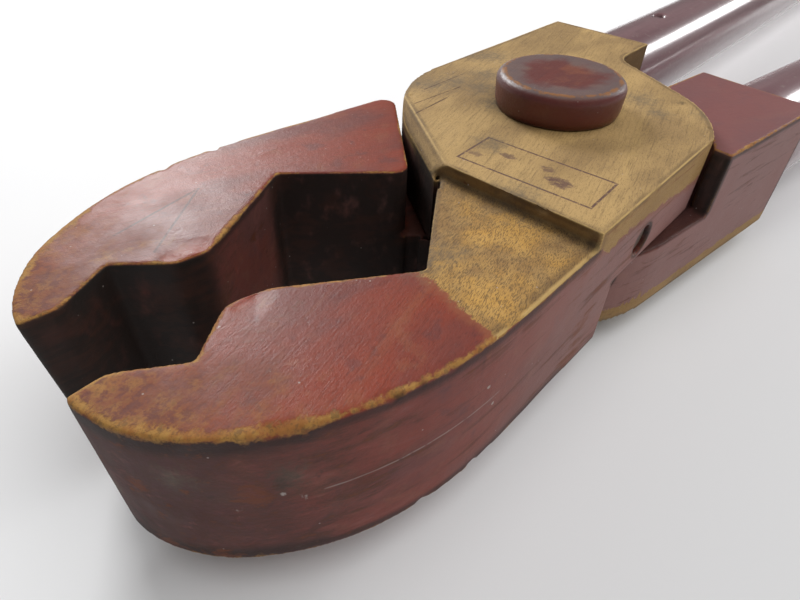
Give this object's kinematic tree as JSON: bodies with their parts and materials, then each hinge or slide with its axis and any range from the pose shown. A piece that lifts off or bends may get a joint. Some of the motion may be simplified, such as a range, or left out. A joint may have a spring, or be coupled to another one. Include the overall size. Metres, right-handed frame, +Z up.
{
  "type": "wooden gripping tongs",
  "caption": "Two-handed wooden gripping tongs: crossed half-lapped levers on a turned pivot, two diamond-shaped jaw mouths, long round handle tubes.",
  "frame": {"origin": "on the pivot axis, in the flat underside of the lower pivot head, which the tongs rest on", "axes": "+X from the pivot towards the jaws, +Z up along the pivot, +Y towards the side of the upper lever's jaw"},
  "size_m": [0.699, 0.1698, 0.0672],
  "materials": {
    "painted_beech": "satin",
    "varnished_tube": "gloss",
    "bare_beech": "matte"
  },
  "bodies": {
    "upper_half": {"upper_lever": "painted_beech", "pivot_pin": "painted_beech", "lower_pivot_head": "painted_beech", "lower_head_peg": "bare_beech", "upper_hub_dowel": "bare_beech", "upper_handle_tube": "varnished_tube", "upper_handle_pin": "bare_beech", "upper_end_plug": "painted_beech"},
    "lower_half": {"lower_lever": "painted_beech", "lower_hub_dowel": "bare_beech", "lower_handle_tube": "varnished_tube", "lower_handle_pin": "bare_beech", "lower_end_plug": "painted_beech"}
  },
  "joints": [
    {"name": "jaw_pivot", "type": "hinge", "parent": "upper_half", "child": "lower_half", "pos_m": [0, 0, 0.0333], "axis": [0, 0, -1], "range_deg": [-8.2, 32]}
  ]
}
